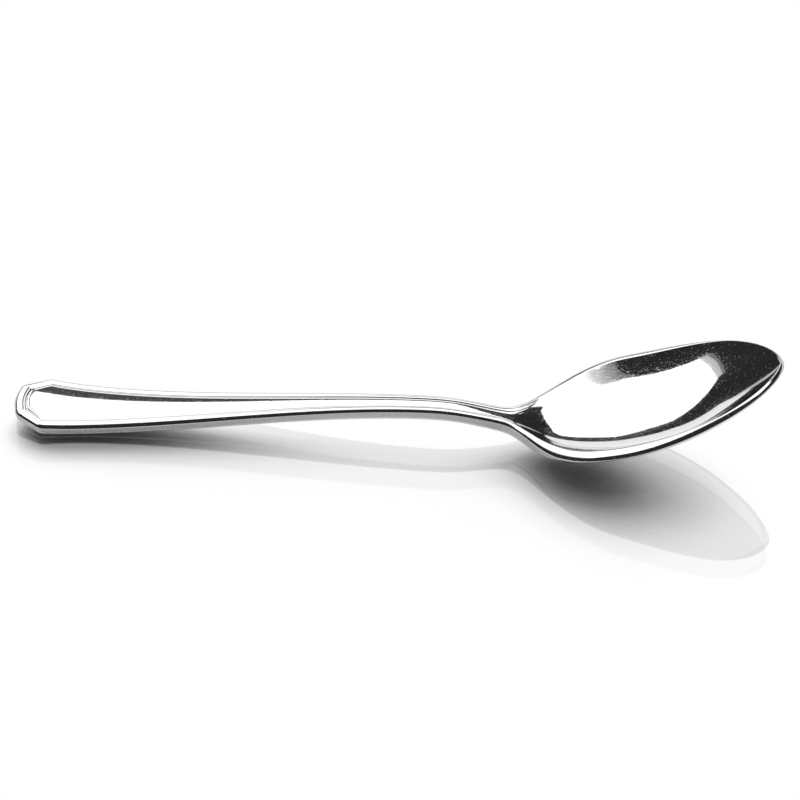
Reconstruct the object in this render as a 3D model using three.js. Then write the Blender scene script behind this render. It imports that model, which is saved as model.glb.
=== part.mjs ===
// A dessert spoon of polished stainless steel, one stamping described zone by zone:
// the chamfered handle end, the arched stem, the neck and the pointed bowl.
// Millimetres. +X runs from the handle end to the bowl tip, +Z is up and the table is z = 0.

import * as THREE from 'three';
import { mergeVertices } from 'three/addons/utils/BufferGeometryUtils.js';

// Plan, seen from above
const overallLength = 182;
const endWidth = 9.4;
const endBow = 0.5;
const chamferLength = 6.8;
const handleWidth = 17.3;
const handleEndLength = 33;
const waistWidth = 5.2;
const waistToTip = 77;
const neckLength = 13;
const heelToTip = 60;
const heelWidth = 10.6;
const heelAngle = 40;
const bowlWidth = 37;
const widestToTip = 35;

// Reach of the plan curves, measured along the tangents at their ends
const sideEase = 48;
const neckEase = 19;
const heelEaseIn = 2.5;
const heelEaseOut = 5.8;
const cheekEase = 15.5;
const flankEase = 25.4;
const tipEase = 5.4;

// Height of the top edge over the table, from the handle end to the tip
const endHeight = 4.2;
const endSlope = -0.21;
const restToEnd = 13.7;
const archHeight = 9.7;
const archToTip = 80.5;
const neckHeight = 6.8;
const neckToTip = 58;
const rimHeight = 12.65;
const rimSlope = 0.28;
const rimToTip = 38;
const tipHeight = 28.15;
const tipSlope = 0.39;

// Thickness of the metal
const handleThickness = 2.9;
const stemThickness = 3.4;
const lipThickness = 1.6;
const bowlWall = 1.5;
const backCrown = 0.5;
const backInset = 0.3;
const endCrownLength = 8;
const restWear = 0.1;

// Threaded border pressed into the top face, as insets from the edge
const edgeRound = 0.15;
const landWidth = 1.2;
const beadWidth = 0.6;
const innerBeadWidth = 0.45;
const grooveWidth = 0.3;
const grooveDepth = 0.2;
const beadDrop = 0.03;
const panelDrop = 0.22;
const stemBorderShare = 0.78;
const borderReach = 0.5;

// Fullness of the hollow and of the back, as powers of the distance from the middle
const bowlFullness = 1.5;
const handleBackPower = 2.6;
const bowlBackPower = 2;

// Facets
const endRows = 2;
const handleRowSpacing = 4.5;
const neckRowSpacing = 2.2;
const heelRows = 3;
const cheekRows = 11;
const flankRows = 14;
const panelColumns = 7;
const backColumns = [0, 0.22, 0.45, 0.65, 0.82, 0.93, 1];
const curveSteps = 50;
const mergeDistance = 1e-4;

// Stations along X
const xEnd = -overallLength / 2;
const xTip = overallLength / 2;
const xShoulder = xEnd + chamferLength;
const xHandleCut = xEnd + handleEndLength;
const xWaist = xTip - waistToTip;
const xNeckCut = xWaist + neckLength;
const xHeel = xTip - heelToTip;
const xWidest = xTip - widestToTip;
const xRest = xEnd + restToEnd;

const { lerp, smoothstep, clamp, degToRad } = THREE.MathUtils;

// Smooth curve through [x, height, slope] knots
function heightThrough(knots, x) {
  const last = knots.length - 2;
  const found = knots.findIndex((knot, k) => k <= last && x <= knots[k + 1][0]);
  const k = found < 0 ? last : found;
  const [xa, za, slopeA] = knots[k];
  const [xb, zb, slopeB] = knots[k + 1];
  const span = xb - xa;
  const t = (x - xa) / span;
  const t2 = t * t;
  const t3 = t2 * t;
  const fromA = (2 * t3 - 3 * t2 + 1) * za + (t3 - 2 * t2 + t) * span * slopeA;
  const fromB = (3 * t2 - 2 * t3) * zb + (t3 - t2) * span * slopeB;
  return fromA + fromB;
}

const edgeKnots = [
  [xEnd, endHeight, endSlope],
  [xRest, handleThickness, 0],
  [xTip - archToTip, archHeight, 0],
  [xTip - neckToTip, neckHeight, 0],
  [xTip - rimToTip, rimHeight, rimSlope],
  [xTip, tipHeight, tipSlope],
];
const edgeHeight = (x) => heightThrough(edgeKnots, x);

// How far a station has passed from the handle into the bowl, 0 to 1
const intoBowl = (x) => smoothstep(x, xWaist, xHeel);

// Depth of the upright side below the top edge
function sideDrop(x) {
  const thickness = lerp(handleThickness + restWear, stemThickness, smoothstep(x, xRest, xWaist));
  return lerp(thickness - backCrown, lipThickness, smoothstep(x, xWaist, xWidest));
}

// The border is a little narrower on the stem and round the bowl than at the handle end
const borderShare = (x) => lerp(1, stemBorderShare, smoothstep(x, xShoulder, xWaist));

// Border profile from the edge inwards: distance from the edge and height over the land
const firstGroove = landWidth + grooveWidth / 2;
const firstBead = firstGroove + beadWidth / 2;
const secondGroove = firstGroove + beadWidth;
const secondBead = secondGroove + innerBeadWidth / 2;
const panelEdge = secondGroove + innerBeadWidth;
const border = [
  [0, -edgeRound],
  [edgeRound, 0],
  [landWidth, 0],
  [firstGroove, -grooveDepth],
  [firstBead, -beadDrop],
  [secondGroove, -grooveDepth],
  [secondBead, -beadDrop],
  [panelEdge, -panelDrop],
];
const landRing = 2;

// Plan curves of one half, from the shoulder of the handle end to the tip
const point = (x, y) => new THREE.Vector2(x, y);
const heel = point(xHeel, heelWidth / 2);
const heelAway = point(Math.cos(degToRad(heelAngle)), Math.sin(degToRad(heelAngle)));
const shoulder = point(xShoulder, handleWidth / 2);
const waist = point(xWaist, waistWidth / 2);
const widest = point(xWidest, bowlWidth / 2);
const sideCurve = new THREE.CubicBezierCurve(
  shoulder, shoulder, point(xWaist - sideEase, waistWidth / 2), waist);
const neckCurve = new THREE.CubicBezierCurve(
  waist, point(xWaist + neckEase, waistWidth / 2),
  heel.clone().addScaledVector(heelAway, -heelEaseIn), heel);
const cheekCurve = new THREE.CubicBezierCurve(
  heel, heel.clone().addScaledVector(heelAway, heelEaseOut),
  point(xWidest - cheekEase, bowlWidth / 2), widest);
const flankCurve = new THREE.CubicBezierCurve(
  widest, point(xWidest + flankEase, bowlWidth / 2), point(xTip, tipEase), point(xTip, 0));

// Parameter at which a plan curve reaches a station
function parameterAt(curve, x) {
  let low = 0;
  let high = 1;
  for (let step = 0; step < curveSteps; step += 1) {
    const middle = (low + high) / 2;
    if (curve.getPoint(middle).x < x) low = middle;
    else high = middle;
  }
  return (low + high) / 2;
}

// A row is one cut through the spoon: its border rings in plan, the inner edge of the land,
// the edge of the back and the station that sets its thickness
function rowAlong(edge, inward) {
  const share = borderShare(edge.x);
  const land = edge.clone().addScaledVector(inward, landWidth * share);
  land.y = Math.max(land.y, 0);
  const reach = (panelEdge - landWidth) * share;
  const squeeze = Math.min(1, (borderReach * land.y) / reach);
  const rings = border.map(([inset], k) => {
    if (k <= landRing) return edge.clone().addScaledVector(inward, inset * share);
    return point(land.x, land.y - (inset - landWidth) * share * squeeze);
  });
  rings[landRing] = land;
  const back = edge.clone().addScaledVector(inward, backInset);
  back.y = Math.max(back.y, 0);
  return { edge, land, rings, back };
}

// Row on the handle or neck, square to X
function squareRow(curve, x) {
  const edge = point(x, curve.getPoint(parameterAt(curve, x)).y);
  return rowAlong(edge, point(0, -1));
}

// Row round the bowl: the lip is measured square to the rim
function rimRow(curve, t) {
  const edge = curve.getPoint(t);
  const along = curve.getTangent(t);
  const turn = smoothstep(edge.x, xNeckCut, xHeel);
  return rowAlong(edge, point(along.y * turn, -along.x).normalize());
}

// Row at a corner of the handle end, mitred between the inward normals of its two edges
function cornerRow(edge, normalA, normalB) {
  const mitre = normalA.clone().add(normalB).divideScalar(1 + normalA.dot(normalB));
  const rings = border.map(([inset]) => edge.clone().addScaledVector(mitre, inset));
  return {
    edge,
    rings,
    land: rings[landRing],
    back: edge.clone().addScaledVector(mitre, backInset),
  };
}

// Row halfway between two rows
function rowHalfway(rowA, rowB) {
  const mix = (a, b) => a.clone().lerp(b, 0.5);
  return {
    edge: mix(rowA.edge, rowB.edge),
    land: mix(rowA.land, rowB.land),
    rings: rowA.rings.map((ring, k) => mix(ring, rowB.rings[k])),
    back: mix(rowA.back, rowB.back),
  };
}

// Handle end: bowed edge from the middle to the corner, then the slanting chamfer
function handleEndRows() {
  const corner = point(xEnd + endBow, endWidth / 2);
  const chamfer = shoulder.clone().sub(corner).normalize();
  const chamferNormal = point(chamfer.y, -chamfer.x);
  const sideAlong = sideCurve.v2.clone().sub(shoulder).normalize();
  const cornerAt = cornerRow(corner, point(1, 0), chamferNormal);
  const shoulderAt = cornerRow(shoulder, chamferNormal, point(sideAlong.y, -sideAlong.x));
  const bowedTo = (spread) => {
    const shift = endBow * (spread * spread - 1);
    const bowed = (place) => point(place.x + shift, place.y * spread);
    return {
      edge: bowed(cornerAt.edge),
      land: bowed(cornerAt.land),
      rings: cornerAt.rings.map(bowed),
      back: bowed(cornerAt.back),
    };
  };
  const edgeRows = [];
  for (let k = 0; k < endRows; k += 1) edgeRows.push(bowedTo(k / endRows));
  return [...edgeRows, cornerAt, rowHalfway(cornerAt, shoulderAt), shoulderAt];
}

// Square rows from one station to another, the first left out
function squareRows(curve, from, to, spacing) {
  const count = Math.ceil((to - from) / spacing);
  return Array.from({ length: count }, (_, k) =>
    squareRow(curve, lerp(from, to, (k + 1) / count)));
}

// Rows round the rim, the first left out; they crowd together towards the end if easing says so
function rimRows(curve, from, count, easing = (t) => t) {
  return Array.from({ length: count }, (_, k) =>
    rimRow(curve, lerp(from, 1, easing((k + 1) / count))));
}

const endPart = handleEndRows();
const panelStart = endPart.at(-1).rings.at(-1).x;
const endRun = squareRows(sideCurve, panelStart, xHandleCut, handleRowSpacing);
const stemRun = squareRows(sideCurve, xHandleCut, xWaist, handleRowSpacing);
const neckRun = squareRows(neckCurve, xWaist, xNeckCut, neckRowSpacing);
const bowlRun = [
  ...rimRows(neckCurve, parameterAt(neckCurve, xNeckCut), heelRows),
  ...rimRows(cheekCurve, 0, cheekRows),
  ...rimRows(flankCurve, 0, flankRows, (t) => Math.sin((t * Math.PI) / 2)),
];

// The back of the bowl is as deep as lets it just touch the table
const lipHalf = bowlWidth / 2 - landWidth * stemBorderShare;
const backShare = (row) => (row.edge.y / (bowlWidth / 2)) ** bowlFullness;
const touching = bowlRun
  .filter((row) => row.edge.x > xHeel && row.edge.y > heelWidth / 2)
  .map((row) => (edgeHeight(row.back.x) - sideDrop(row.edge.x)) / backShare(row));
const bellyDepth = Math.min(...touching);
const hollowDepth = bellyDepth + lipThickness - bowlWall;

// Height of the top face at a place on a row; the pressed lines fade out into the bowl
function topHeight(row, place, relief, inLand) {
  const station = row.edge.x;
  const pressed = inLand ? relief : relief * (1 - intoBowl(station));
  const hollow = hollowDepth * (row.land.y / lipHalf) ** bowlFullness * intoBowl(station);
  const across = row.land.y > 0 ? Math.min(Math.abs(place.y) / row.land.y, 1) : 1;
  return edgeHeight(place.x) + pressed - hollow * (1 - across * across);
}

// Height of the back, with the resting spot worn level with the table
function backHeight(row, across) {
  const station = row.edge.x;
  const inBowl = intoBowl(station);
  const fromEnd = clamp((row.back.x - xEnd) / endCrownLength, 0, 1);
  const crown = backCrown * (1 - (1 - fromEnd) ** handleBackPower);
  const belly = lerp(crown, bellyDepth * backShare(row), inBowl);
  const power = lerp(handleBackPower, bowlBackPower, inBowl);
  const drop = sideDrop(station) + belly * (1 - Math.abs(across) ** power);
  return Math.max(edgeHeight(row.back.x) - drop, 0);
}

// Closed loop of points round one row: top from near edge to far edge, then the back again
function sectionLoop(row) {
  const rim = row.rings.map((ring, k) => {
    const height = topHeight(row, ring, border[k][1], k <= landRing);
    return new THREE.Vector3(ring.x, ring.y, height);
  });
  const mirrored = (place) => new THREE.Vector3(place.x, -place.y, place.z);
  const inner = row.rings.at(-1);
  const panel = Array.from({ length: panelColumns }, (_, k) => {
    const place = point(inner.x, inner.y * lerp(-1, 1, (k + 1) / (panelColumns + 1)));
    return new THREE.Vector3(place.x, place.y, topHeight(row, place, -panelDrop, false));
  });
  const half = backColumns.map((across) =>
    new THREE.Vector3(row.back.x, row.back.y * across, backHeight(row, across)));
  const back = [...half.slice(1).reverse(), ...half.map(mirrored)];
  return [...rim.map(mirrored), ...panel, ...rim.slice().reverse(), ...back];
}

// Closed solid through a run of rows, with flat faces where it meets its neighbours
function solidThrough(rows, cutAtStart, cutAtEnd) {
  const loops = rows.map(sectionLoop);
  const size = loops[0].length;
  const index = [];
  for (let i = 0; i + 1 < loops.length; i += 1) {
    for (let j = 0; j < size; j += 1) {
      const next = (j + 1) % size;
      const a = i * size + j;
      const b = i * size + next;
      const c = (i + 1) * size + next;
      const d = (i + 1) * size + j;
      index.push(a, d, c, a, c, b);
    }
  }
  const capAt = (i, facingTip) => {
    const contour = loops[i].map((place) => point(place.y, place.z));
    const first = i * size;
    for (const [a, b, c] of THREE.ShapeUtils.triangulateShape(contour, [])) {
      const turned = THREE.ShapeUtils.area([contour[a], contour[b], contour[c]]) > 0;
      const order = turned === facingTip ? [a, b, c] : [c, b, a];
      index.push(...order.map((corner) => first + corner));
    }
  };
  if (cutAtStart) capAt(0, false);
  if (cutAtEnd) capAt(loops.length - 1, true);
  const geometry = new THREE.BufferGeometry();
  const places = loops.flat().flatMap((place) => place.toArray());
  geometry.setAttribute('position', new THREE.Float32BufferAttribute(places, 3));
  geometry.setIndex(index);
  return withoutSlivers(mergeVertices(geometry, mergeDistance));
}

// Triangles that fold to nothing where a row closes on the middle line are left out
function withoutSlivers(geometry) {
  const kept = [];
  const corners = geometry.index.array;
  for (let k = 0; k < corners.length; k += 3) {
    const [a, b, c] = corners.slice(k, k + 3);
    if (a !== b && b !== c && c !== a) kept.push(a, b, c);
  }
  geometry.setIndex(kept);
  geometry.computeVertexNormals();
  return geometry;
}

const polishedSteel = new THREE.MeshStandardMaterial({
  color: 0xd9dadb,
  roughness: 0.08,
  metalness: 1,
});

const spoon = new THREE.Group();

function addZone(name, rows, cutAtStart, cutAtEnd) {
  const zone = new THREE.Mesh(solidThrough(rows, cutAtStart, cutAtEnd), polishedSteel);
  zone.name = name;
  spoon.add(zone);
}

addZone('handle_end', [...endPart, ...endRun], false, true);
addZone('stem', [endRun.at(-1), ...stemRun], true, true);
addZone('neck', [stemRun.at(-1), ...neckRun], true, true);
addZone('bowl', [neckRun.at(-1), ...bowlRun], true, false);

export default spoon;
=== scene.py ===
"""A dessert spoon of polished steel on a clear sheet of glass over a white ground, in a studio."""

import math

import bpy
import numpy as np
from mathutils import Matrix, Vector


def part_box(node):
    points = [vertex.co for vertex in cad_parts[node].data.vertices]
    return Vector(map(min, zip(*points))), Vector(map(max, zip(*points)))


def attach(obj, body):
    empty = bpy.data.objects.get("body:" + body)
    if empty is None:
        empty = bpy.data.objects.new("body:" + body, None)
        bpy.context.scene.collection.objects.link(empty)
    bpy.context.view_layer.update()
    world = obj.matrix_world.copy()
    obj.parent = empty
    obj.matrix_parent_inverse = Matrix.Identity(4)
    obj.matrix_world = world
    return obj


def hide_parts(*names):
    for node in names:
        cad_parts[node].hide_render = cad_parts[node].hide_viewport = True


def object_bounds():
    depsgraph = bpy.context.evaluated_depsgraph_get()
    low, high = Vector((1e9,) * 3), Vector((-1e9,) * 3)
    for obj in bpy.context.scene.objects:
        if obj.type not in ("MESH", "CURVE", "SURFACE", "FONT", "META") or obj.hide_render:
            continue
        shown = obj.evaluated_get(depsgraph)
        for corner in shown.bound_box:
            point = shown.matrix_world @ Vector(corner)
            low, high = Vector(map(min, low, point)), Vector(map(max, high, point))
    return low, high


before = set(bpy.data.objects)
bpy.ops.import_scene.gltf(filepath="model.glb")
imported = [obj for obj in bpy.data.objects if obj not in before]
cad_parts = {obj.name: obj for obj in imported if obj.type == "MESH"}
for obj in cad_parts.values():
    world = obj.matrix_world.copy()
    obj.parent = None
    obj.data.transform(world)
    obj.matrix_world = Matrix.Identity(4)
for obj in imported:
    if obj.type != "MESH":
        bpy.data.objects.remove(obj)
cad_low, cad_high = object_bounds()

# Sizes are in millimetres, and meshes are scaled to metres when they are made
MM = 0.001
NEARLY_ZERO = 1e-6
LEAST_AREA = 1e-12
MERGE_SIZE = 1e-4

# Stations and widths that the solids give
X_END = cad_low.x / MM
X_TIP = cad_high.x / MM
X_HANDLE_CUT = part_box("handle_end")[1].x / MM
X_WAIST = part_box("stem")[1].x / MM
X_NECK_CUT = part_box("neck")[1].x / MM
HANDLE_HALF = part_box("handle_end")[1].y / MM
BOWL_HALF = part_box("bowl")[1].y / MM

# Plan of the handle end, the stem and the bowl, close to that of the solids
END_HALF = 4.7
END_BOW = 0.5
CHAMFER_LENGTH = 6.8
CORNER_RADIUS = 1.8
CORNER_TIGHTENING = 1.6
INNER_CORNER_RADIUS = 0.12
WAIST_HALF = 2.6
HEEL_TO_TIP = 60
HEEL_HALF = 5.3
HEEL = (X_TIP - HEEL_TO_TIP, HEEL_HALF)
HEEL_ANGLE = math.radians(40)
WIDEST_TO_TIP = 35
X_WIDEST = X_TIP - WIDEST_TO_TIP
SIDE_EASE = 48
NECK_EASE = 12
HEEL_EASE_IN = 5.5
HEEL_EASE_OUT = 5.8
CHEEK_EASE = 15.5
FLANK_EASE = 25.4
TIP_EASE = 5.4

# Top edge over the table as station, height and slope, and the length over which it is eased
EDGE_KNOTS = [
    (X_END, 4.2, -0.21),
    (X_END + 13.7, 2.9, 0),
    (X_TIP - 80.5, 9.7, 0),
    (X_TIP - 58, 6.8, 0),
    (X_TIP - 38, 12.65, 0.28),
    (X_TIP, 28.15, 0.39),
]
EDGE_EASING = 2.5
X_REST = EDGE_KNOTS[1][0]

# Thickness of the metal
HANDLE_SIDE = 2.85
STEM_SIDE = 2.9
NECK_SIDE = 3.3
NECK_SIDE_END = 15
LIP_SIDE = 1.3
TIP_LIP_EXTRA = 0.4
BOWL_WALL = 1.5
BACK_CROWN = 0.5
BACK_INSET = 0.3
BACK_ROUND = 0.7
LEAST_FOOT = 0.02
LEAST_SIDE = 0.1
LEAST_WALL_SHARE = 0.2
END_CROWN_LENGTH = 8
BOWL_FULLNESS = 1.15
HEEL_FULLNESS = 1.4
HEEL_FLATNESS = 2.6
BOWL_FLATNESS = 2.4
HEEL_FLAT_LENGTH = 7
HEEL_WALL_SLOPE = 0.82
FLANK_WALL_SLOPE = 1.4
TIP_WALL_SLOPE = 2.5
SLOPE_LIMIT_POWER = 6
WALL_CHANGE = (X_WIDEST - 14, X_WIDEST + 10)
TIP_WALL_CHANGE = (X_TIP - 18, X_TIP - 4)
WALL_SAMPLES = 24
TIP_STEP = 0.25
TIP_RISE = 0.52
TIP_RISE_POWER = 16
HEEL_EASING = 1.6
BELLY_SPAN = (HEEL[0] + 2, X_TIP - 4)
BELLY_SAMPLES = 400
HANDLE_BACK_POWER = 2.6
BOWL_BACK_POWER = 2

# Border pressed into the top face, as distances in from the edge
LAND = 1.5
BEAD_END = 2.35
THREAD = 3.1
BEAD_RISE = 0.06
BEAD_HALF = 0.28
GROOVE_HALF = 0.16
GROOVE_REACH = 2 * GROOVE_HALF
GROOVE_SHARPNESS = 2
GROOVE_DEPTH = 0.15
THREAD_DEPTH = 0.08
PANEL_DROP = 0.16
PANEL_EDGE_SLOPE = 0.2
STEM_BORDER_SHARE = 0.78
BORDER_REACH = 0.5
HANDLE_BORDER_REACH = 0.65
BORDER_FADE = (X_NECK_CUT - 3, HEEL[0] + 2)
LEAST_PANEL = 0.1
END_LAND_EXTRA = 0.65

# Rolled top edge, narrow along the handle, broad round the bowl's lip and narrow again at the tip
HANDLE_ROLL = 0.8
HANDLE_FACE = 2.4
BOWL_ROLL = 2.0
TIP_ROLL = 0.2
BOWL_FACE = 2.4
TIP_FACE = 3.2
TIP_CHANGE = (X_TIP - 34, X_TIP - 10)
FACE_END = math.radians(46)
ROLL_START = math.radians(20)
ROLL_OVER = math.radians(12)
ROLL_BLEND = 14
EDGE_RAISE = 0.26
EDGE_SPREAD = 0.45

# Rows along the spoon and columns across it
END_ROWS = 20
ARC_ROWS = 6
CHAMFER_ROWS = 20
SLANT_ROWS = 8
SLANT_LENGTH = 3.5
HANDLE_SPACING = 0.9
NECK_SPACING = 0.5
HEEL_ROWS = 14
CHEEK_ROWS = 60
FLANK_ROWS = 80
LAND_COLUMNS = 11
FLAT_COLUMNS = 3
GROOVE_COLUMNS = 10
THREAD_COLUMNS = 8
PANEL_COLUMNS = 26
PANEL_INSET = 99.0
WALL_COLUMNS = 5
ROUND_COLUMNS = 6
ROLL_COLUMNS = 18
BACK_COLUMNS = 26
CURVE_POINTS = 4001
TANGENT_STEP = 1e-4
SIDE_SLOPE_STEP = 1
GRID_STEP = 0.05
GRID_MARGIN = 12
EASING_REACH = 4


def smoothstep(x, low, high):
    t = np.clip((x - low) / (high - low), 0, 1)
    return t * t * (3 - 2 * t)


def lerp(a, b, share):
    return a + (b - a) * share


def bezier(points, t):
    """Points of a cubic curve at the parameters t."""
    t = np.asarray(t, float)[:, None]
    p0, p1, p2, p3 = np.asarray(points, float)
    return (1 - t) ** 3 * p0 + 3 * t * (1 - t) ** 2 * p1 + 3 * t**2 * (1 - t) * p2 + t**3 * p3


# Height of the top edge

def height_through(knots, x):
    """Piecewise cubic through knots of station, height and slope."""
    stations = np.array([k[0] for k in knots])
    span_index = np.clip(np.searchsorted(stations, x) - 1, 0, len(knots) - 2)
    xa, za, slope_a = np.array(knots)[span_index].T
    xb, zb, slope_b = np.array(knots)[span_index + 1].T
    span = xb - xa
    t = (x - xa) / span
    from_a = (2 * t**3 - 3 * t**2 + 1) * za + (t**3 - 2 * t**2 + t) * span * slope_a
    from_b = (3 * t**2 - 2 * t**3) * zb + (t**3 - t**2) * span * slope_b
    inside = from_a + from_b
    before = knots[0][1] + (x - knots[0][0]) * knots[0][2]
    after = knots[-1][1] + (x - knots[-1][0]) * knots[-1][2]
    return np.where(x < knots[0][0], before, np.where(x > knots[-1][0], after, inside))


grid_stations = np.arange(X_END - GRID_MARGIN, X_TIP + GRID_MARGIN, GRID_STEP)


def eased(values, length):
    """Values on the even grid of stations, smoothed over a length."""
    reach = EASING_REACH * length
    away = np.arange(-reach, reach + GRID_STEP, GRID_STEP)
    weight = np.exp(-0.5 * (away / length) ** 2)
    return np.convolve(values, weight / weight.sum(), mode="same")


eased_heights = eased(height_through(EDGE_KNOTS, grid_stations), EDGE_EASING)


def edge_height(x):
    return np.interp(x, grid_stations, eased_heights)


# Blends along the spoon

def into_bowl(x):
    return smoothstep(x, X_WAIST, HEEL[0])


def border_left(x):
    """Share of the pressed border that is left: it runs out at the heel."""
    return 1 - smoothstep(x, *BORDER_FADE)


def border_share(x):
    return lerp(1, STEM_BORDER_SHARE, smoothstep(x, X_END + CHAMFER_LENGTH, X_WAIST))


def into_lip(x):
    return smoothstep(x, X_NECK_CUT, X_NECK_CUT + ROLL_BLEND)


def roll_radius(x):
    bowl = lerp(BOWL_ROLL, TIP_ROLL, smoothstep(x, *TIP_CHANGE))
    return lerp(HANDLE_ROLL * border_share(x), bowl, into_lip(x))


def face_radius(x):
    """Radius of the roll's outer part, which is nearly flat where the lip was cut."""
    bowl = lerp(BOWL_FACE, TIP_FACE, smoothstep(x, *TIP_CHANGE))
    return lerp(HANDLE_FACE * border_share(x), bowl, into_lip(x))


def roll_angles(x):
    """Angles up the rolled edge from its outer end: it turns past level into the bowl."""
    last = math.pi / 2 + ROLL_OVER * into_lip(x)
    return lerp(ROLL_START, last, np.linspace(0, 1, ROLL_COLUMNS + 1))


def roll_width(x):
    """How far in the rolled edge has come at each of its angles."""
    angles = roll_angles(x)
    face = face_radius(x) * (math.cos(ROLL_START) - np.cos(np.minimum(angles, FACE_END)))
    return face + roll_radius(x) * (math.cos(FACE_END) - np.cos(np.maximum(angles, FACE_END)))


def roll_drop(x):
    """How far the rolled edge lies under its crest at each of its angles."""
    angles = roll_angles(x)
    face = face_radius(x) * (math.sin(FACE_END) - np.sin(np.minimum(angles, FACE_END)))
    return face + roll_radius(x) * (1 - np.sin(np.maximum(angles, FACE_END)))


def crest_height(x):
    return edge_height(x) + EDGE_RAISE


def side_drop(x):
    handle = lerp(HANDLE_SIDE, STEM_SIDE, smoothstep(x, X_REST, X_WAIST))
    lip = LIP_SIDE + TIP_LIP_EXTRA * smoothstep(x, X_WIDEST, X_TIP)
    neck = lerp(handle, NECK_SIDE, into_bowl(x))
    return lerp(neck, lip, smoothstep(x, HEEL[0], HEEL[0] + NECK_SIDE_END))


# Plan outline of one half: each row has an edge point and the way inwards

def side_curve_points():
    shoulder = (X_END + CHAMFER_LENGTH, HANDLE_HALF)
    waist = (X_WAIST, WAIST_HALF)
    return [shoulder, shoulder, (X_WAIST - SIDE_EASE, WAIST_HALF), waist]


def bowl_curves():
    away = np.array([math.cos(HEEL_ANGLE), math.sin(HEEL_ANGLE)])
    heel = np.array(HEEL)
    widest = (X_WIDEST, BOWL_HALF)
    neck = [(X_WAIST, WAIST_HALF), (X_WAIST + NECK_EASE, WAIST_HALF), heel - away * HEEL_EASE_IN, heel]
    cheek = [heel, heel + away * HEEL_EASE_OUT, (X_WIDEST - CHEEK_EASE, BOWL_HALF), widest]
    flank = [widest, (X_WIDEST + FLANK_EASE, BOWL_HALF), (X_TIP, TIP_EASE), (X_TIP, 0)]
    return neck, cheek, flank


curve_shares = np.linspace(0, 1, CURVE_POINTS)
neck_points = bezier(bowl_curves()[0], curve_shares)
handle_points = np.concatenate([bezier(side_curve_points(), curve_shares), neck_points[1:]])


def handle_half(x):
    """Half width of the handle, stem and neck at a station."""
    return np.interp(x, handle_points[:, 0], handle_points[:, 1])


def corner_ring(corner, before, after, inset, turn):
    """Point of a rounded corner, set in from the edges, at a share of its turn."""
    normal_a = np.array([before[1], -before[0]])
    normal_b = np.array([after[1], -after[0]])
    half_turn = 0.5 * math.acos(np.clip(before @ after, -1, 1))
    radius = max(CORNER_RADIUS - CORNER_TIGHTENING * inset, INNER_CORNER_RADIUS)
    bisector = normal_a + normal_b
    bisector /= np.linalg.norm(bisector)
    centre = corner + bisector * (inset + radius) / math.cos(half_turn)
    angle_a = math.atan2(-normal_a[1], -normal_a[0])
    angle = angle_a - 2 * half_turn * turn
    return centre + radius * np.array([math.cos(angle), math.sin(angle)])


def end_rows(insets):
    """Rings of the rows round the handle end: bowed edge, corner, chamfer and shoulder."""
    corner = np.array([X_END + END_BOW, END_HALF])
    shoulder = np.array([X_END + CHAMFER_LENGTH, HANDLE_HALF])
    along_end = np.array([0.0, 1.0])
    chamfer = (shoulder - corner) / np.linalg.norm(shoulder - corner)
    side = np.array([SIDE_SLOPE_STEP, handle_half(shoulder[0] + SIDE_SLOPE_STEP) - HANDLE_HALF])
    side /= np.linalg.norm(side)
    rows = []
    for k in range(END_ROWS):
        spread = k / END_ROWS
        row = []
        for inset in insets:
            turned = corner_ring(corner, along_end, chamfer, inset, 0)
            row.append((turned[0] - END_BOW * (1 - spread**2), turned[1] * spread))
        rows.append(row)
    for k in range(ARC_ROWS + 1):
        rows.append([corner_ring(corner, along_end, chamfer, i, k / ARC_ROWS) for i in insets])
    for k in range(1, CHAMFER_ROWS):
        starts = [corner_ring(corner, along_end, chamfer, i, 1) for i in insets]
        ends = [corner_ring(shoulder, chamfer, side, i, 0) for i in insets]
        rows.append([lerp(a, b, k / CHAMFER_ROWS) for a, b in zip(starts, ends)])
    for k in range(ARC_ROWS + 1):
        rows.append([corner_ring(shoulder, chamfer, side, i, k / ARC_ROWS) for i in insets])
    return np.array(rows)


def end_land_shift(insets, rows):
    """How far the border is moved in along the end, less and less along the chamfer."""
    row = np.arange(rows)[:, None]
    at_end = 1 - smoothstep(row, END_ROWS + ARC_ROWS, END_ROWS + ARC_ROWS + CHAMFER_ROWS)
    return END_LAND_EXTRA * at_end * smoothstep(insets, LAND / 2, LAND - GROOVE_HALF)


def square_stations():
    """Stations of the rows that lie square to X, and the indices of the cuts among them."""
    stations = [X_END + CHAMFER_LENGTH + SLANT_LENGTH]
    cuts = []
    stretches = [(X_HANDLE_CUT, HANDLE_SPACING), (X_WAIST, HANDLE_SPACING), (X_NECK_CUT, NECK_SPACING)]
    for stop, spacing in stretches:
        count = math.ceil((stop - stations[-1]) / spacing)
        stations += list(np.linspace(stations[-1], stop, count + 1)[1:])
        cuts.append(len(stations) - 1)
    return np.array(stations), cuts


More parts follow.
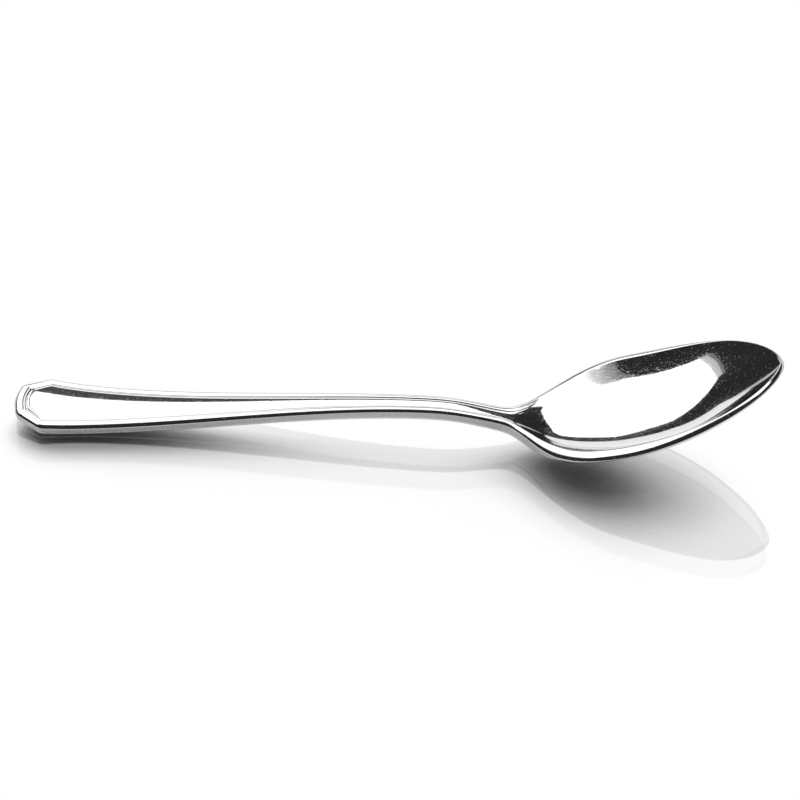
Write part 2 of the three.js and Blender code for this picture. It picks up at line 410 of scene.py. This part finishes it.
def rim_points():
    """Edge points of the bowl from the neck cut to the tip, with the way inwards at each."""
    neck, cheek, flank = bowl_curves()
    t_cut = np.interp(X_NECK_CUT, neck_points[:, 0], curve_shares)
    pieces = [
        (neck, np.linspace(t_cut, 1, HEEL_ROWS + 1)[1:]),
        (cheek, np.linspace(0, 1, CHEEK_ROWS + 1)[1:]),
        (flank, np.linspace(0, 1, FLANK_ROWS + 1)[1:]),
    ]
    edges = []
    inwards = []
    for curve, t in pieces:
        edge = bezier(curve, t)
        along = bezier(curve, np.minimum(t + TANGENT_STEP, 1)) - bezier(curve, t - TANGENT_STEP)
        along /= np.linalg.norm(along, axis=1)[:, None]
        turn = smoothstep(edge[:, 0], X_NECK_CUT, HEEL[0])
        inward = np.stack([along[:, 1] * turn, -np.maximum(along[:, 0], 0)], axis=1)
        inward /= np.linalg.norm(inward, axis=1)[:, None]
        inwards.append(inward)
        edges.append(edge - inward * EDGE_SPREAD)
    return np.concatenate(edges), np.concatenate(inwards)


def rings_at(insets, rolled):
    """Plan points of every row's rings, shaped rows by insets by 2, and the rows of the cuts.

    Where the insets hold the rolled edge, the bowl's rows get that edge's own width.
    """
    ends = end_rows(insets - EDGE_SPREAD)
    if rolled:
        ends[:, :, 0] += end_land_shift(insets, len(ends))
    stations, cuts = square_stations()
    slanted = []
    for k in range(1, SLANT_ROWS):
        x = lerp(ends[-1, :, 0], stations[0], k / SLANT_ROWS)
        slanted.append(np.stack([x, handle_half(x) + EDGE_SPREAD - insets * border_share(x)], axis=1))
    squares = np.empty((len(stations), len(insets), 2))
    squares[:, :, 0] = stations[:, None]
    reach = insets * border_share(stations)[:, None]
    squares[:, :, 1] = handle_half(stations)[:, None] + EDGE_SPREAD - reach
    edges, inwards = rim_points()
    x = edges[:, :1]
    reach = insets * border_share(x)
    if rolled:
        width = roll_width(x)
        beyond = reach[:, ROLL_COLUMNS + 1:] - reach[:, ROLL_COLUMNS: ROLL_COLUMNS + 1]
        reach = np.concatenate([width, width[:, -1:] + beyond], axis=1)
    rims = edges[:, None, :] + inwards[:, None, :] * reach[:, :, None]
    rings = np.concatenate([ends, np.array(slanted), squares, rims])
    rings[:, :, 1] = np.maximum(rings[:, :, 1], 0)
    # The last row lies on the middle line, so that the tip closes
    rings[-1, :, 1] = 0
    first_square = len(ends) + len(slanted)
    return rings, [first_square + c for c in cuts]


# Shape of the top face

def groove(d, middle, depth):
    """Rounded valley across the border."""
    return -depth * np.exp(-GROOVE_SHARPNESS * ((d - middle) / GROOVE_HALF) ** 2)


def border_relief(d):
    """Height of the pressed border over the land at a distance in from the edge."""
    step = -PANEL_DROP * smoothstep(d, LAND, BEAD_END + GROOVE_HALF)
    lines = groove(d, LAND, GROOVE_DEPTH) + groove(d, BEAD_END, GROOVE_DEPTH)
    bead = BEAD_RISE * np.exp(-(((d - (LAND + BEAD_END) / 2) / BEAD_HALF) ** 2))
    return step + lines + bead + groove(d, THREAD, THREAD_DEPTH)


roll_insets = roll_width(np.array(X_END))
border_insets = np.unique(np.concatenate([
    roll_insets,
    np.linspace(roll_insets[-1], LAND + GROOVE_REACH, LAND_COLUMNS),
    np.linspace(LAND + GROOVE_REACH, BEAD_END - GROOVE_REACH, FLAT_COLUMNS),
    np.linspace(BEAD_END - GROOVE_REACH, BEAD_END + GROOVE_REACH, GROOVE_COLUMNS),
    np.linspace(BEAD_END + GROOVE_REACH, THREAD - GROOVE_REACH, FLAT_COLUMNS),
    np.linspace(THREAD - GROOVE_REACH, THREAD + GROOVE_REACH, THREAD_COLUMNS),
]))
border_insets = border_insets[np.append(np.diff(border_insets) > MERGE_SIZE, True)]
land_ring = ROLL_COLUMNS


def top_grid():
    """Plan points of the top half from the edge to the middle line, and their insets."""
    rings, cuts = rings_at(border_insets, True)
    outer = rings[:, : land_ring + 1]
    land = rings[:, land_ring]
    reach = land[:, 1] - rings[:, -1, 1]
    wanted = (border_insets[-1] - border_insets[land_ring]) * border_share(land[:, 0])
    in_plan = smoothstep(rings[:, 0, 0], X_NECK_CUT, HEEL[0])
    depth = np.minimum(wanted, BORDER_REACH * land[:, 1])
    depth = lerp(reach, depth, in_plan)
    depth = np.minimum(depth, HANDLE_BORDER_REACH * land[:, 1])
    shares = (border_insets[land_ring + 1:] - border_insets[land_ring]) / (
        border_insets[-1] - border_insets[land_ring])
    inner = np.empty((len(rings), len(shares), 2))
    inner[:, :, 0] = lerp(rings[:, land_ring + 1:, 0], land[:, None, 0], in_plan[:, None])
    inner[:, :, 1] = land[:, None, 1] - depth[:, None] * shares
    last = inner[:, -1]
    middle = 1 - np.arange(1, PANEL_COLUMNS + 1) / PANEL_COLUMNS
    panel = np.empty((len(rings), PANEL_COLUMNS, 2))
    panel[:, :, 0] = last[:, None, 0]
    panel[:, :, 1] = last[:, None, 1] * middle
    plan = np.concatenate([outer, inner, panel], axis=1)
    insets = np.concatenate([border_insets, np.full(PANEL_COLUMNS, PANEL_INSET)])
    return plan, insets, cuts


top_plan, top_insets, cut_rows = top_grid()
row_station = top_plan[:, 0, 0]

# Half width of the lip's inner edge at a station, from which the hollow and the belly follow
lip_x = top_plan[:, land_ring, 0]
lip_y = top_plan[:, land_ring, 1]
lip_order = np.argsort(lip_x, kind="stable")
lip_half_widest = lip_y.max()


def lip_half(x):
    return np.interp(x, lip_x[lip_order], lip_y[lip_order])


eased_lip_half = eased(lip_half(grid_stations), HEEL_EASING)


def belly_half(x):
    """Half width of the hollow, eased where the neck opens into the bowl."""
    at_heel = np.interp(x, grid_stations, eased_lip_half)
    return lerp(at_heel, lip_half(x), smoothstep(x, HEEL[0] + ROLL_BLEND, X_WIDEST))


def belly_share(x):
    fullness = np.where(x < X_WIDEST, HEEL_FULLNESS, BOWL_FULLNESS)
    return (belly_half(x) / lip_half_widest) ** fullness


def hollow_power(x):
    """Power of the hollow's cross-section: flatter across at the heel."""
    return lerp(HEEL_FLATNESS, BOWL_FLATNESS, smoothstep(x, HEEL[0], HEEL[0] + HEEL_FLAT_LENGTH))


def hollow_depth(x, half, t):
    """Depth of the hollow at a share t of its half width, with a wall no steeper than its limit."""
    depth = HOLLOW * belly_share(x) * into_bowl(x)
    rise = TIP_STEP + TIP_RISE * np.maximum(lip_x.max() - x, NEARLY_ZERO)
    depth = depth / (1 + (depth / rise) ** TIP_RISE_POWER) ** (1 / TIP_RISE_POWER)
    power = hollow_power(x)
    steepest = lerp(HEEL_WALL_SLOPE, FLANK_WALL_SLOPE, smoothstep(x, *WALL_CHANGE))
    steepest = lerp(steepest, TIP_WALL_SLOPE, smoothstep(x, *TIP_WALL_CHANGE))
    edge_slope = power * depth / half
    total = np.zeros_like(t)
    for k in range(WALL_SAMPLES):
        out = lerp(t, 1, (k + 0.5) / WALL_SAMPLES)
        slope = edge_slope * out ** (power - 1)
        total += slope / (1 + (slope / steepest) ** SLOPE_LIMIT_POWER) ** (1 / SLOPE_LIMIT_POWER)
    return half * (1 - t) * total / WALL_SAMPLES


belly_stations = np.linspace(*BELLY_SPAN, BELLY_SAMPLES)
belly_room = edge_height(belly_stations) - side_drop(belly_stations)
BELLY = np.min(belly_room / belly_share(belly_stations))
HOLLOW = BELLY + LIP_SIDE - BOWL_WALL


def top_height(plan, insets):
    """Height of the top face at plan points whose columns have these insets."""
    x = plan[:, :, 0]
    y = plan[:, :, 1]
    station = row_station[:, None]
    relief = border_relief(insets)[None, :] * border_left(station)
    half = np.maximum(lip_half(x), NEARLY_ZERO)
    t = np.minimum(y / half, 1)
    hollow = hollow_depth(x, half, t)
    panel_half = np.maximum(handle_half(x) + EDGE_SPREAD - BEAD_END * border_share(x), LEAST_PANEL)
    crown = PANEL_EDGE_SLOPE / 2 * (panel_half - np.minimum(y, panel_half) ** 2 / panel_half)
    crown = crown * smoothstep(insets, BEAD_END - GROOVE_HALF, BEAD_END + GROOVE_HALF)[None, :]
    drop = roll_drop(station)
    inner_drop = np.repeat(drop[:, -1:], len(insets) - ROLL_COLUMNS - 1, axis=1)
    drop = np.concatenate([drop, inner_drop], axis=1)
    return crest_height(x) - drop + relief + crown * border_left(station) - hollow


top_z = top_height(top_plan, top_insets)

# Shape of the side and the back

back_insets = np.array([0.0, BACK_INSET, BACK_INSET + BACK_ROUND])
back_rings, _ = rings_at(back_insets, False)
back_edge = back_rings[np.argsort(back_rings[:, 1, 0], kind="stable"), 1]


def back_half(x):
    return np.interp(x, back_edge[:, 0], back_edge[:, 1])


def back_height(x, y):
    """Height of the back at plan points, worn level with the table where it rests."""
    from_end = np.clip((x - X_END) / END_CROWN_LENGTH, 0, 1)
    crown = BACK_CROWN * (1 - (1 - from_end) ** HANDLE_BACK_POWER)
    deep = into_bowl(x)
    belly = lerp(crown, BELLY * belly_share(x), deep)
    power = lerp(HANDLE_BACK_POWER, BOWL_BACK_POWER, deep)
    across = np.minimum(y / np.maximum(back_half(x), NEARLY_ZERO), 1)
    return np.maximum(edge_height(x) - side_drop(x) - belly * (1 - across**power), 0)


def back_grid():
    """Points of the lower half of each row: down the side, round the edge, across the back."""
    edge = back_rings[:, 0]
    foot = back_rings[:, 1]
    inner = back_rings[:, 2]
    x = edge[:, 0]
    top = top_z[:, 0]
    bottom = np.maximum(edge_height(foot[:, 0]) - side_drop(x), LEAST_FOOT)
    inner_z = back_height(inner[:, 0], inner[:, 1])
    wall_share = 1 - BACK_ROUND / np.maximum(top - bottom, LEAST_SIDE)
    wall_share = np.clip(wall_share, LEAST_WALL_SHARE, 1)
    columns = []
    for k in range(1, WALL_COLUMNS + 1):
        share = wall_share * k / WALL_COLUMNS
        plan = lerp(edge, foot, share[:, None])
        columns.append(np.column_stack([plan, lerp(top, bottom, share)]))
    wall_end = columns[-1]
    corner = np.column_stack([foot, bottom])
    landing = np.column_stack([inner, inner_z])
    for k in range(1, ROUND_COLUMNS + 1):
        q = k / ROUND_COLUMNS
        columns.append((1 - q) ** 2 * wall_end + 2 * q * (1 - q) * corner + q**2 * landing)
    for k in range(1, BACK_COLUMNS + 1):
        y = inner[:, 1] * (1 - k / BACK_COLUMNS)
        columns.append(np.column_stack([inner[:, 0], y, back_height(inner[:, 0], y)]))
    return np.stack(columns, axis=1)


# Whole surface as one grid: each row is a loop from the top middle round both sides

half_loop = np.concatenate([np.dstack([top_plan, top_z[:, :, None]])[:, ::-1], back_grid()], axis=1)
other_half = half_loop[:, -2:0:-1] * np.array([1, -1, 1])
surface = np.concatenate([half_loop, other_half], axis=1)


def merged(points):
    """Each point's number among the distinct points, and the distinct points."""
    keys = np.round(points / MERGE_SIZE).astype(np.int64)
    _, first, number = np.unique(keys, axis=0, return_index=True, return_inverse=True)
    return number.reshape(-1), points[first]


def surface_faces(rows, columns):
    """Quads of the grid with the row and the column that each starts from."""
    i, j = np.meshgrid(np.arange(rows - 1), np.arange(columns), indexing="ij")
    after = (j + 1) % columns
    quads = np.stack([
        i * columns + j, (i + 1) * columns + j, (i + 1) * columns + after, i * columns + after], axis=-1)
    return quads.reshape(-1, 4), i.reshape(-1), j.reshape(-1)


def vertex_normals(points, faces):
    """Normals of a smooth surface, from faces weighted by their area."""
    a, b, c, d = (points[faces[:, k]] for k in range(4))
    normal = np.cross(c - a, d - b)
    total = np.zeros_like(points)
    for k in range(4):
        np.add.at(total, faces[:, k], normal)
    return total / np.maximum(np.linalg.norm(total, axis=1), LEAST_AREA)[:, None]


rows_count, loop_size = surface.shape[:2]
all_quads, quad_row, quad_column = surface_faces(rows_count, loop_size)
from_edge = np.minimum(quad_column, loop_size - 1 - quad_column) - (top_plan.shape[1] - 1)
on_side = (from_edge >= 0) & (from_edge < WALL_COLUMNS)
number, points = merged(surface.reshape(-1, 3))
normals = vertex_normals(points, number[all_quads])


def polished_piece(name, node, first_row, last_row):
    """The surface between two rows as a closed mesh that stands for a node."""
    picked = (quad_row >= first_row) & (quad_row < last_row)
    faces = []
    side_finish_and_shade = []
    for quad, side in zip(number[all_quads[picked]], on_side[picked]):
        corners = list(dict.fromkeys(quad.tolist()))
        if len(corners) > 2:
            faces.append(corners)
            # Side faces take the second material: a satin finish with painted shade in its darker colour
            side_finish_and_shade.append(int(side))
    caps = []
    for row, outward in ((first_row, -1), (last_row, 1)):
        if row in cut_rows:
            loop = number[row * loop_size: (row + 1) * loop_size].tolist()
            caps.append((loop if outward < 0 else loop[::-1], outward))
    used = sorted({c for f in faces for c in f})
    place = {c: k for k, c in enumerate(used)}
    mesh = bpy.data.meshes.new(name)
    cap_faces = [loop for loop, _ in caps]
    mesh.from_pydata(
        (points[used] * MM).tolist(), [], [[place[c] for c in f] for f in faces + cap_faces])
    mesh.polygons.foreach_set("use_smooth", [True] * len(faces) + [False] * len(caps))
    mesh.polygons.foreach_set("material_index", side_finish_and_shade + [0] * len(caps))
    loop_normals = [normals[c] for f in faces for c in f]
    for loop, outward in caps:
        loop_normals += [np.array([outward, 0.0, 0.0])] * len(loop)
    mesh.normals_split_custom_set(loop_normals)
    piece = bpy.data.objects.new(name, mesh)
    bpy.context.scene.collection.objects.link(piece)
    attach(piece, "root")
    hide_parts(node)
    return piece


row_limits = [0, *cut_rows, rows_count - 1]
spoon = [
    polished_piece(f"{node}_polished", node, row_limits[k], row_limits[k + 1])
    for k, node in enumerate(("handle_end", "stem", "neck", "bowl"))
]


# Materials

WHITE = (1, 1, 1, 1)
STEEL = (0.62, 0.62, 0.625, 1)
POLISH = 0.035
# Side walls: a satin finish, with a darker colour than the polished steel as painted shade
SHADED_SIDE_STEEL = (0.46, 0.46, 0.463, 1)
SIDE_POLISH = 0.26
SPECK_SIZE = 0.0004
SPECK_DETAIL = 2
SPECK_ROUGHNESS = 0.33
SPECK_RANGE = (0.645, 0.74)
SCRATCH_SPACING = 0.00022
SCRATCH_DETAIL = 1
SCRATCH_STRETCH = 0.02
SCRATCH_TURNS = (8, -27, 63)
SCRATCH_ROUGHNESS = 0.14
SCRATCH_RANGE = (0.6, 0.72)
WAVE_LENGTH = 0.006
WAVE_DETAIL = 1
WAVE_HEIGHT = 0.000004


def noise_field(tree, place, size, detail):
    """Noise whose grains have a size in metres."""
    noise = tree.nodes.new("ShaderNodeTexNoise")
    noise.inputs["Scale"].default_value = 1 / size
    noise.inputs["Detail"].default_value = detail
    tree.links.new(place, noise.inputs["Vector"])
    return noise.outputs["Fac"]


def ranged(tree, value, span, low, high):
    """The value's part within a span, from a lowest up to a highest value."""
    node = tree.nodes.new("ShaderNodeMapRange")
    node.inputs["From Min"].default_value = span[0]
    node.inputs["From Max"].default_value = span[1]
    node.inputs["To Min"].default_value = low
    node.inputs["To Max"].default_value = high
    tree.links.new(value, node.inputs["Value"])
    return node.outputs["Result"]


def larger(tree, a, b):
    node = tree.nodes.new("ShaderNodeMath")
    node.operation = "MAXIMUM"
    tree.links.new(a, node.inputs[0])
    tree.links.new(b, node.inputs[1])
    return node.outputs[0]


def steel_material(name, colour, polish):
    """Steel with fine scratches, pinpoint specks and a slight waviness."""
    material = bpy.data.materials.new(name)
    material.use_nodes = True
    tree = material.node_tree
    shader = tree.nodes["Principled BSDF"]
    shader.inputs["Base Color"].default_value = colour
    shader.inputs["Metallic"].default_value = 1
    place = tree.nodes.new("ShaderNodeTexCoord").outputs["Object"]
    specks = noise_field(tree, place, SPECK_SIZE, SPECK_DETAIL)
    rough = ranged(tree, specks, SPECK_RANGE, polish, polish + SPECK_ROUGHNESS)
    for turn in SCRATCH_TURNS:
        mapping = tree.nodes.new("ShaderNodeMapping")
        mapping.vector_type = "TEXTURE"
        mapping.inputs["Rotation"].default_value = (0, 0, math.radians(turn))
        mapping.inputs["Scale"].default_value = (1 / SCRATCH_STRETCH, 1, 1)
        tree.links.new(place, mapping.inputs["Vector"])
        streaks = noise_field(tree, mapping.outputs["Vector"], SCRATCH_SPACING, SCRATCH_DETAIL)
        scratched = ranged(tree, streaks, SCRATCH_RANGE, polish, polish + SCRATCH_ROUGHNESS)
        rough = larger(tree, rough, scratched)
    tree.links.new(rough, shader.inputs["Roughness"])
    bump = tree.nodes.new("ShaderNodeBump")
    bump.inputs["Distance"].default_value = WAVE_HEIGHT
    tree.links.new(noise_field(tree, place, WAVE_LENGTH, WAVE_DETAIL), bump.inputs["Height"])
    tree.links.new(bump.outputs["Normal"], shader.inputs["Normal"])
    return material


# The second material is the sides' satin finish, whose darker colour is painted shade
steel_finishes_and_side_shade = [
    steel_material("polished_steel", STEEL, POLISH),
    steel_material("satin_shaded_side", SHADED_SIDE_STEEL, SIDE_POLISH),
]
for piece in spoon:
    for steel_look in steel_finishes_and_side_shade:
        piece.data.materials.append(steel_look)

# Camera

CAMERA_TARGET = Vector((0.43, 12.07, 0)) * MM
CAMERA_DISTANCE = 0.9
CAMERA_ELEVATION = math.radians(40)
CAMERA_AZIMUTH = math.radians(5.05)
FOCAL_PIXELS = 3718.4
IMAGE_PIXELS = 800
SENSOR_WIDTH = 36


def add_camera():
    data = bpy.data.cameras.new("camera")
    data.sensor_width = SENSOR_WIDTH
    data.lens = FOCAL_PIXELS / IMAGE_PIXELS * SENSOR_WIDTH
    camera = bpy.data.objects.new("camera", data)
    bpy.context.scene.collection.objects.link(camera)
    back = Vector((
        math.sin(CAMERA_AZIMUTH) * math.cos(CAMERA_ELEVATION),
        -math.cos(CAMERA_AZIMUTH) * math.cos(CAMERA_ELEVATION),
        math.sin(CAMERA_ELEVATION),
    ))
    camera.location = CAMERA_TARGET + back * CAMERA_DISTANCE
    camera.rotation_euler = (-back).to_track_quat("-Z", "Y").to_euler()
    bpy.context.scene.camera = camera


add_camera()
bpy.context.scene.view_settings.view_transform = "Standard"

# Floor: a clear sheet of glass over a white ground, so it mirrors twice; the ground glows white and
# carries a painted shadow round the spoon

FLOOR_HALF = 6.0
SHEET_GAP = 0.00002
MIRROR_ROUGHNESS = 0.02
SHEET_MIRROR = 0.1
GROUND_DEPTH = 0.0029
GROUND_MIRROR = 0.04
GROUND_GLOW = 0.85
# Painted shadow on the ground: its dark colour, and the tilt, reach, range and samples of the occlusion
# that sets where it falls
SHADOW_COLOUR = 0.1
REAR_TILT = (0.4, 2, 0)
PAINTED_SHADOW_REACH = 0.06
PAINTED_SHADOW_RANGE = (0.5, 0.8)
PAINTED_SHADOW_SAMPLES = 24


def flat_piece(name, corners):
    """Flat polygon that belongs to the studio."""
    mesh = bpy.data.meshes.new(name)
    mesh.from_pydata(corners, [], [tuple(range(len(corners)))])
    obj = bpy.data.objects.new(name, mesh)
    bpy.context.scene.collection.objects.link(obj)
    return obj


def mirror_over(name, under, share):
    """Material that mirrors a share of the light and is otherwise the shader under it."""
    material = bpy.data.materials.new(name)
    material.use_nodes = True
    tree = material.node_tree
    tree.nodes.clear()
    output = tree.nodes.new("ShaderNodeOutputMaterial")
    mix = tree.nodes.new("ShaderNodeMixShader")
    mirror = tree.nodes.new("ShaderNodeBsdfGlossy")
    below = tree.nodes.new(under)
    mix.inputs["Fac"].default_value = share
    mirror.inputs["Color"].default_value = WHITE
    mirror.inputs["Roughness"].default_value = MIRROR_ROUGHNESS
    tree.links.new(below.outputs[0], mix.inputs[1])
    tree.links.new(mirror.outputs[0], mix.inputs[2])
    tree.links.new(mix.outputs[0], output.inputs["Surface"])
    return material, below


def square(half, height):
    return [(-half, -half, height), (half, -half, height), (half, half, height), (-half, half, height)]


def add_floor():
    sheet = flat_piece("glass_sheet", square(FLOOR_HALF, -SHEET_GAP))
    clear, _ = mirror_over("glass_sheet", "ShaderNodeBsdfTransparent", SHEET_MIRROR)
    sheet.data.materials.append(clear)
    ground = flat_piece("white_ground", square(FLOOR_HALF, -GROUND_DEPTH))
    white, shade = mirror_over("white_ground", "ShaderNodeMixShader", GROUND_MIRROR)
    tree = white.node_tree
    # Painted shadow: the ground fades from its glow to a dark diffuse where the spoon hides a hemisphere
    # tilted to the rear
    open_sky = tree.nodes.new("ShaderNodeAmbientOcclusion")
    open_sky.samples = PAINTED_SHADOW_SAMPLES
    open_sky.inputs["Distance"].default_value = PAINTED_SHADOW_REACH
    tilt = tree.nodes.new("ShaderNodeVectorMath")
    tilt.inputs[1].default_value = REAR_TILT
    unit = tree.nodes.new("ShaderNodeVectorMath")
    unit.operation = "NORMALIZE"
    tree.links.new(tree.nodes.new("ShaderNodeNewGeometry").outputs["Normal"], tilt.inputs[0])
    tree.links.new(tilt.outputs[0], unit.inputs[0])
    tree.links.new(unit.outputs[0], open_sky.inputs["Normal"])
    painted_shadow = tree.nodes.new("ShaderNodeBsdfDiffuse")
    painted_shadow.inputs["Color"].default_value = (SHADOW_COLOUR, SHADOW_COLOUR, SHADOW_COLOUR, 1)
    glow = tree.nodes.new("ShaderNodeEmission")
    glow.inputs["Strength"].default_value = GROUND_GLOW
    tree.links.new(ranged(tree, open_sky.outputs["AO"], PAINTED_SHADOW_RANGE, 0, 1), shade.inputs["Fac"])
    tree.links.new(painted_shadow.outputs[0], shade.inputs[1])
    tree.links.new(glow.outputs[0], shade.inputs[2])
    ground.data.materials.append(white)
    sheet.visible_shadow = False


add_floor()

# Studio: a large softbox overhead, dark flags round it, and a white room beyond

BOX_HEIGHT = 3.0
BOX_LEVEL = 2.0
SKIRT_LEVEL = 0.84
OUTER_LEVEL = 0.24
GAP_LEVEL = 0.09
DARK_LEVEL = 0.03
STUDIO_MIDDLE = (0.058, 0.0)
BOX_EDGE = [
    (-0.5, -0.8), (0.95, -0.8), (0.78, -0.05), (0.6, 0.25), (0.3, 1.3),
    (0.1, 1.58), (-0.8, 1.55), (-1.3, 1.86), (-1.6, 1.88), (-2.42, 2.56),
]
BOX_LEFT = [(-1.55, -0.87), (-1.63, -0.67), (-1.8, -0.17), (-2.15, 0.54), (-2.6, 1.6), (-2.8, 2.85)]
SKIRT_LEFT = [(-1.75, -0.85), (-2.05, -0.36), (-2.29, 0.29), (-2.75, 1.25), (-3.4, 2.4), (-3.5, 3.3)]
OUTER_LEFT = [(-1.95, -0.8), (-2.3, -0.12), (-2.52, 0.56), (-2.95, 1.45), (-3.6, 2.5), (-3.7, 3.4)]
FADE_CORNERS = [
    (-0.6, -0.82), (0.06, -0.82), (0.06, -0.53), (-0.12, -0.58),
    (-0.2, -0.65), (-0.36, -0.75), (-0.6, -0.795),
]
FADE_SPAN = (-0.42, 0.5)
FADE_LEVELS = (0.2, 3.0)
SIDE_CARD_CORNERS = [(0.7, -0.8), (1.2, -0.8), (1.2, -0.2), (0.7, -0.2)]
CEILING_CORNERS = [(-30.0, -30.0), (30.0, -30.0), (30.0, 3.3), (-30.0, 3.3)]
GAP_CORNERS = [(-3.0, 1.3), (0.6, 1.3), (0.6, 3.3), (-3.0, 3.3)]
FADE_ABOVE = -0.005
SIDE_CARD_ABOVE = 0.005
GAP_ABOVE = 0.01
CEILING_ABOVE = 0.02
FLAG_DISTANCE = 3.0
REAR_FLAG_HEIGHT = 1.3
REAR_FLAG_BEARINGS = (math.radians(-75), math.radians(-20))
LEFT_FLAG_HEIGHT = 1.0
LEFT_FLAG_BEARINGS = (math.radians(-110), math.radians(-75))


def glowing(name, level):
    material = bpy.data.materials.new(name)
    material.use_nodes = True
    tree = material.node_tree
    tree.nodes.clear()
    output = tree.nodes.new("ShaderNodeOutputMaterial")
    emission = tree.nodes.new("ShaderNodeEmission")
    emission.inputs["Color"].default_value = WHITE
    emission.inputs["Strength"].default_value = level
    tree.links.new(emission.outputs[0], output.inputs["Surface"])
    return material


def card(name, corners, level):
    """Flat card that lights the spoon or is mirrored in it, and that no camera sees."""
    obj = flat_piece(name, corners)
    obj.data.materials.append(glowing(name, level))
    obj.visible_camera = False
    return obj


def overhead(corners, above=0.0):
    """Corners near the softbox's height, from slopes as seen from the bowl."""
    return [
        (STUDIO_MIDDLE[0] + x * BOX_HEIGHT, STUDIO_MIDDLE[1] + y * BOX_HEIGHT, BOX_HEIGHT + above)
        for x, y in corners
    ]


def fade_along(obj, span, levels):
    """Makes a card brighter from one slope to the next, as seen from the bowl."""
    tree = obj.data.materials[0].node_tree
    emission = next(node for node in tree.nodes if node.type == "EMISSION")
    place = tree.nodes.new("ShaderNodeTexCoord")
    split = tree.nodes.new("ShaderNodeSeparateXYZ")
    level = tree.nodes.new("ShaderNodeMapRange")
    level.interpolation_type = "SMOOTHSTEP"
    for name, slope in zip(("From Min", "From Max"), span):
        level.inputs[name].default_value = STUDIO_MIDDLE[0] + slope * BOX_HEIGHT
    for name, value in zip(("To Min", "To Max"), levels):
        level.inputs[name].default_value = value
    tree.links.new(place.outputs["Object"], split.inputs[0])
    tree.links.new(split.outputs["X"], level.inputs["Value"])
    tree.links.new(level.outputs["Result"], emission.inputs["Strength"])


def standing(bearings, distance, height):
    """Corners of an upright card between two bearings, counted from the rear to the right."""
    (x0, y0), (x1, y1) = [(math.sin(b) * distance, math.cos(b) * distance) for b in bearings]
    return [(x0, y0, 0), (x1, y1, 0), (x1, y1, height), (x0, y0, height)]


def add_studio():
    card("softbox", overhead(BOX_EDGE + BOX_LEFT[::-1]), BOX_LEVEL)
    fade = card("softbox_fade", overhead(FADE_CORNERS, FADE_ABOVE), BOX_LEVEL)
    fade_along(fade, FADE_SPAN, FADE_LEVELS)
    card("softbox_skirt", overhead(BOX_LEFT + SKIRT_LEFT[::-1]), SKIRT_LEVEL)
    card("softbox_outer_skirt", overhead(SKIRT_LEFT + OUTER_LEFT[::-1]), OUTER_LEVEL)
    card("side_card", overhead(SIDE_CARD_CORNERS, SIDE_CARD_ABOVE), BOX_LEVEL)
    card("rear_gap", overhead(GAP_CORNERS, GAP_ABOVE), GAP_LEVEL)
    card("ceiling", overhead(CEILING_CORNERS, CEILING_ABOVE), DARK_LEVEL)
    card("rear_flag", standing(REAR_FLAG_BEARINGS, FLAG_DISTANCE, REAR_FLAG_HEIGHT), DARK_LEVEL)
    card("left_flag", standing(LEFT_FLAG_BEARINGS, FLAG_DISTANCE, LEFT_FLAG_HEIGHT), DARK_LEVEL)


add_studio()

world = bpy.data.worlds.new("studio")
bpy.context.scene.world = world
world.use_nodes = True
world.node_tree.nodes["Background"].inputs["Color"].default_value = WHITE
